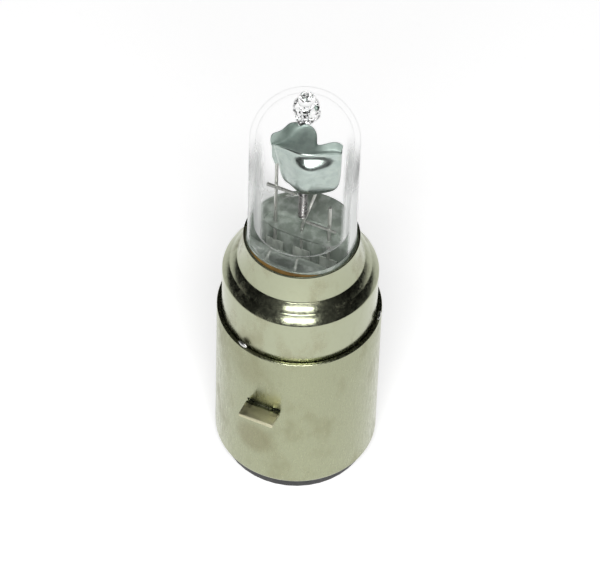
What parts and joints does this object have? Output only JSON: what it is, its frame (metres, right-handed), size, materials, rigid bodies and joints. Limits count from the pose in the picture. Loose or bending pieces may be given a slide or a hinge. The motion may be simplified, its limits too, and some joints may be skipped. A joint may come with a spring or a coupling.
{
  "type": "headlight bulb",
  "caption": "Twin-filament halogen headlight bulb: domed glass with a shielded dipped filament on a metal bayonet cap with two lugs and two bottom contacts.",
  "frame": {"origin": "on the lamp axis in the plane of the bottom contacts", "axes": "+Z along the lamp axis towards the glass tip, +Y and -Y through the two bayonet lugs, X along the wide side of the glass pinch and through the two contacts"},
  "size_m": [0.02, 0.0244, 0.0611],
  "materials": {
    "nickel_plate": "satin nickel plate on brass",
    "black_insulator": "moulded black",
    "brass_contact": "plain brass",
    "solder": "soft solder",
    "cement": "brown basing cement",
    "clear_glass": "clear polished glass",
    "molybdenum": "bright drawn wire and foil",
    "shield_metal": "satin pressed sheet",
    "tungsten": "coiled wire",
    "copper_wire": "bare copper wire"
  },
  "bodies": {
    "root": {"cap_shell": "nickel_plate", "focusing_collar": "nickel_plate", "insulator_base": "black_insulator", "contact_plate_dipped": "brass_contact", "contact_plate_main": "brass_contact", "contact_pad_dipped": "solder", "contact_pad_main": "solder", "seam_solder_1": "solder", "seam_solder_2": "solder", "seam_solder_3": "solder", "earth_solder": "solder", "basing_cement": "cement", "glass_bulb": "clear_glass", "foil_common": "molybdenum", "foil_dipped": "molybdenum", "foil_main": "molybdenum", "outer_lead_common": "molybdenum", "outer_lead_dipped": "molybdenum", "outer_lead_main": "molybdenum", "common_post": "molybdenum", "main_post": "molybdenum", "dipped_lead": "molybdenum", "filament_crossbar": "molybdenum", "filament_bridge": "molybdenum", "main_filament": "tungsten", "dipped_filament": "tungsten", "dipped_shield": "shield_metal", "shield_bracket": "shield_metal", "supply_wire_dipped": "copper_wire", "supply_wire_main": "copper_wire", "earth_wire": "copper_wire"}
  },
  "joints": []
}
